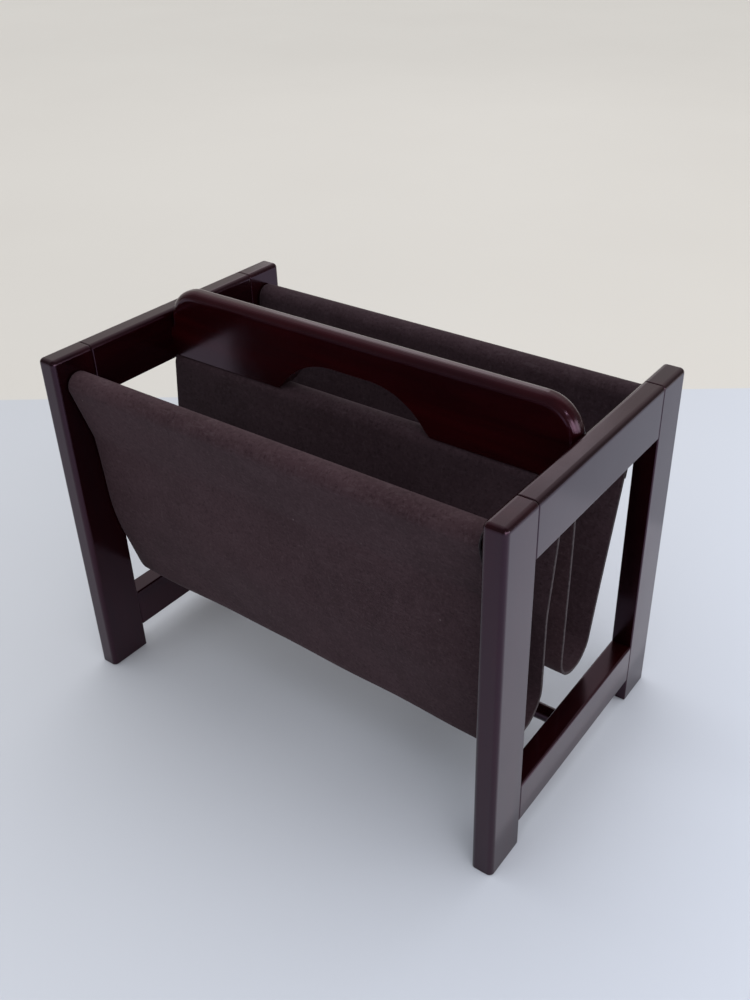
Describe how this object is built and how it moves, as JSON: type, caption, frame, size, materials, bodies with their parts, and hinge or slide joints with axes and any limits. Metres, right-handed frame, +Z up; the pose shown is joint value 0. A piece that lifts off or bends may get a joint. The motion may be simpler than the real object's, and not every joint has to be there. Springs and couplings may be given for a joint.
{
  "type": "magazine rack",
  "caption": "Free-standing magazine holder: wooden end frames joined by rods, a leather sling hung in open pockets, and a handle board with a hand hole.",
  "frame": {"origin": "middle of the footprint, on the floor under the legs", "axes": "+X along the length from the left end frame to the right one, +Y from the front to the back, +Z up"},
  "size_m": [0.47, 0.292, 0.367],
  "materials": {
    "lacquered_wood": "very dark red-brown stain under satin lacquer",
    "dowel_wood": "unfinished beech",
    "screw_steel": "zinc plated",
    "leather": "matte dark brown hide, lightly rubbed"
  },
  "bodies": {
    "root": {"left_front_leg": "lacquered_wood", "left_back_leg": "lacquered_wood", "right_front_leg": "lacquered_wood", "right_back_leg": "lacquered_wood", "left_upper_rail": "lacquered_wood", "right_upper_rail": "lacquered_wood", "left_lower_rail": "lacquered_wood", "right_lower_rail": "lacquered_wood", "left_upper_dowels": "dowel_wood", "left_lower_dowels": "dowel_wood", "right_upper_dowels": "dowel_wood", "right_lower_dowels": "dowel_wood", "front_rod": "lacquered_wood", "back_rod": "lacquered_wood", "centre_rod": "lacquered_wood", "lower_stretcher": "lacquered_wood", "handle_board": "lacquered_wood", "board_dowels": "dowel_wood", "centre_rod_screws": "screw_steel", "leather_sling": "leather"}
  },
  "joints": []
}
